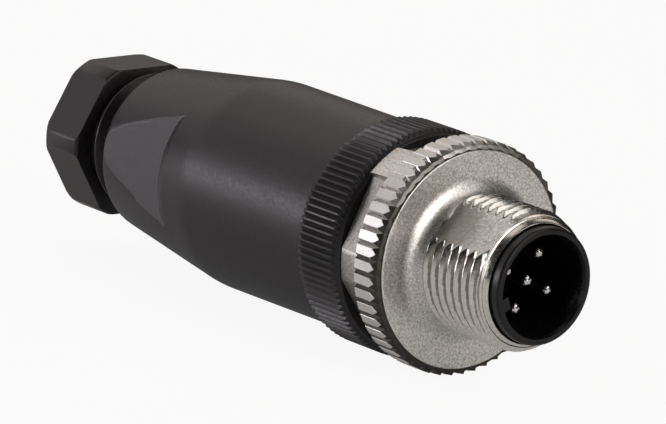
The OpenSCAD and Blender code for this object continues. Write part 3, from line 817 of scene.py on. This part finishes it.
SHELL_AT = station("backshell", 1)
SHELL_END = station("backshell", 0)
BARREL_FRONT_R = 9.15
BARREL_BACK_R = 9.25
BARREL_END = SHELL_AT + 16.9
BARREL_SOFT = 0.9
BARREL_STEPS = 16
RIM_R = 7.3
RIM_SOFT = 0.35
CONE_SLOPE = (BARREL_BACK_R - RIM_R) / (SHELL_END - BARREL_END)
SHOULDER_START = BARREL_END + 3.2
SHOULDER_R = 2.7
SHOULDER_LEN = 2.3
FLAT_H = 7.27
FLAT_ANGLE = -83.3
# Depths behind the front and radii of the bores, from the front backwards.
SHELL_BORES = [(7.4, 8.26), (7.4, 7.4), (12.3, 7.4), (14.3, 4.2), (15.8, 4.2), (15.8, 6.26)]
# Columns of a quarter turn: across the shoulder, the flat and the cone, and the least
# angle between two edges of a flat.
QUARTER_COLUMNS = (10, 12, 26)
THIN_ANGLE = 0.4


def cone_radius(t):
    past = t - BARREL_END
    if abs(past) < BARREL_SOFT:
        return BARREL_BACK_R - CONE_SLOPE * (past + BARREL_SOFT) ** 2 / (4 * BARREL_SOFT)
    return BARREL_BACK_R - CONE_SLOPE * past


def shoulder_radius(t):
    """Radius of the rounded shoulder in front of the flats."""
    lean = math.atan(CONE_SLOPE)
    centre_t = SHOULDER_START - SHOULDER_R * math.sin(lean)
    centre_r = cone_radius(SHOULDER_START) - SHOULDER_R * math.cos(lean)
    reach = SHOULDER_R ** 2 - (t - centre_t) ** 2
    return centre_r + math.sqrt(reach) if reach > 0 else 0.0


def shell_row(t, limit=math.inf):
    """A row of the cone with its two flats; columns follow the edges of the flats."""
    cone = min(cone_radius(t), limit)
    crest = math.degrees(math.acos(min(1.0, FLAT_H / max(cone, FLAT_H * 1.00005))))
    crest = max(crest, 2 * THIN_ANGLE)
    shoulder = shoulder_radius(t)
    foot = crest - THIN_ANGLE
    if t > SHOULDER_START:
        meet = math.degrees(math.acos(FLAT_H / shoulder)) if shoulder > FLAT_H else 0.0
        foot = min(max(meet, THIN_ANGLE), foot)
    a, b, c = QUARTER_COLUMNS
    quarter = np.concatenate([np.linspace(0, foot, a + 1)[:-1],
                              np.linspace(foot, crest, b + 1)[:-1],
                              np.linspace(crest, 90, c + 1)[:-1]])
    half = np.concatenate([quarter, [90.0], 180 - quarter[:0:-1]])
    away = np.concatenate([half, half + 180])
    radii = np.full(len(away), cone)
    if t > SHOULDER_START:
        near = np.abs((away + 90) % 180 - 90)
        flat = FLAT_H / np.maximum(np.cos(np.radians(near)), 0.05)
        radii = np.maximum(np.minimum(cone, flat), min(shoulder, cone))
    return t, away + FLAT_ANGLE, radii


def plain_shell_rows(outline):
    """Round rows whose columns stand like those near the shell's rear end."""
    angles = shell_row(SHELL_END - 1)[1]
    return [(t, angles, np.full(len(angles), float(r))) for t, r in outline]


def barrel_rows(start):
    """Rows of the barrel, whose columns turn from the start's angles to the cone's."""
    turned = shell_row(BARREL_END)[1] - start
    outline = line((SHELL_AT + 0.25, BARREL_FRONT_R),
                   (BARREL_END - BARREL_SOFT, BARREL_BACK_R), BARREL_STEPS)
    return [(t, start + turned * k / BARREL_STEPS, np.full(len(start), r))
            for k, (t, r) in enumerate(outline)]


def add_backshell():
    lip = [(SHELL_AT + 0.3, NECK_R + 0.06), (SHELL_AT, NECK_R + 0.3),
           (SHELL_AT, BARREL_FRONT_R - 0.25)]
    lip += arc((SHELL_AT + 0.2, BARREL_FRONT_R - 0.2), 0.2, 180, 90, 5)
    rows = plain_shell_rows(lip)
    rows += barrel_rows(rows[-1][1])
    stops = [BARREL_END - BARREL_SOFT, BARREL_END + BARREL_SOFT, SHOULDER_START,
             SHOULDER_START + SHOULDER_LEN, SHELL_END - RIM_SOFT]
    for first, last, count in zip(stops, stops[1:], (13, 4, 24, 20)):
        rows += [shell_row(t) for t in np.linspace(first, last, count)[1:]]
    rim = cone_radius(SHELL_END - RIM_SOFT)
    for t, drop in [(SHELL_END - 0.2, 0.06), (SHELL_END - 0.08, 0.16), (SHELL_END, 0.32)]:
        rows.append(shell_row(t, rim - drop))
    gland_r = SHELL_BORES[-1][1]
    inner = [(SHELL_END, gland_r + 0.3), (SHELL_END - 0.3, gland_r)]
    inner += [(SHELL_AT + depth, r) for depth, r in reversed(SHELL_BORES)]
    rows += plain_shell_rows(inner)
    shell = lathe("shell_body", rows, [SHELL_PLASTIC], 28)
    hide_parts("backshell")
    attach(shell, "shell")


# ---------------------------------------------------------------- pressing screw

SHANK_AT = station("pressing_screw", 1)
NUT_END = station("pressing_screw", 0)
NUT_AT = 55.14
NUT_APOTHEM = 6.5
NUT_CORNER_R = 7.18
GLAND_R = 6.2
GLAND_ROOT_R = 5.45
GLAND_PITCH = 1.5
CABLE_BORE_R = MOUNTS["cable_entry"]["dims"]["r_mm"]
NUT_ANGLE = -2.5
NUT_COLUMNS = 240
SHANK_STEPS = 110
SHANK_FADE = 0.6


def shank_rows():
    """Rows of the screw's thread, which fades out at both ends."""
    angles = even_angles(NUT_COLUMNS)
    rows = []
    for i in range(SHANK_STEPS + 1):
        t = SHANK_AT + 0.05 + (NUT_AT - 0.1 - SHANK_AT - 0.05) * i / SHANK_STEPS
        fade = min(1.0, (t - SHANK_AT) / SHANK_FADE, (NUT_AT - 0.3 - t) / SHANK_FADE)
        crest = GLAND_ROOT_R + (GLAND_R - GLAND_ROOT_R) * max(0.0, fade)
        depth = thread_depth(t, -angles, GLAND_PITCH)
        rows.append((t, angles, crest - (crest - GLAND_ROOT_R) * depth))
    return rows


def nut_rows():
    """Rows of the hexagon, with its corners turned down towards both faces."""
    edges = [(NUT_AT, 0.3), (NUT_AT + 0.02, 0.22), (NUT_AT + 0.12, 0.09), (NUT_AT + 0.3, 0.0),
             (NUT_END - 0.45, 0.0), (NUT_END - 0.2, 0.12), (NUT_END - 0.04, 0.3), (NUT_END, 0.42)]
    rows = []
    for t, drop in edges:
        soft = 0.05 if t in (NUT_AT, NUT_END) else 0.0
        rows.append(six_sided(t, NUT_APOTHEM - soft, NUT_CORNER_R - drop, NUT_ANGLE, NUT_COLUMNS))
    return rows


def add_pressing_screw():
    front = [(SHANK_AT, CABLE_BORE_R), (SHANK_AT, GLAND_ROOT_R - 0.1)]
    mouth = [(NUT_END, CABLE_BORE_R + 0.85), (NUT_END - 0.1, CABLE_BORE_R + 0.7),
             (NUT_END - 0.75, CABLE_BORE_R + 0.04), (NUT_END - 0.9, CABLE_BORE_R)]
    rows = round_rows(front, NUT_COLUMNS) + shank_rows() + nut_rows()
    rows += round_rows(mouth, NUT_COLUMNS)
    screw = lathe("gland_screw", rows, [SCREW_PLASTIC], 28)
    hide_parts("pressing_screw")
    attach(screw, "gland")


# ---------------------------------------------------------------- pieces that stay

CONTACTS = 5


def dress(node, material):
    mesh = frame["nodes"][node].data
    mesh.materials.clear()
    mesh.materials.append(material)
    for polygon in mesh.polygons:
        polygon.material_index = 0


def dress_nodes():
    dress("contact_insert", INSERT_PLASTIC)
    for i in range(1, CONTACTS + 1):
        dress(f"contact_{i}", PIN_METAL)
        dress(f"terminal_screw_{i}", SCREW_METAL)
    dress("insert_seal", RUBBER)
    dress("neck_seal", RUBBER)
    dress("cable_seal", GREY_RUBBER)
    dress("clamping_cage", SCREW_PLASTIC)


add_camera()
add_floor()
add_light()
add_coupling_ring()
add_grip_ring()
add_backshell()
add_pressing_screw()
dress_nodes()
bpy.context.scene.view_settings.view_transform = "Standard"
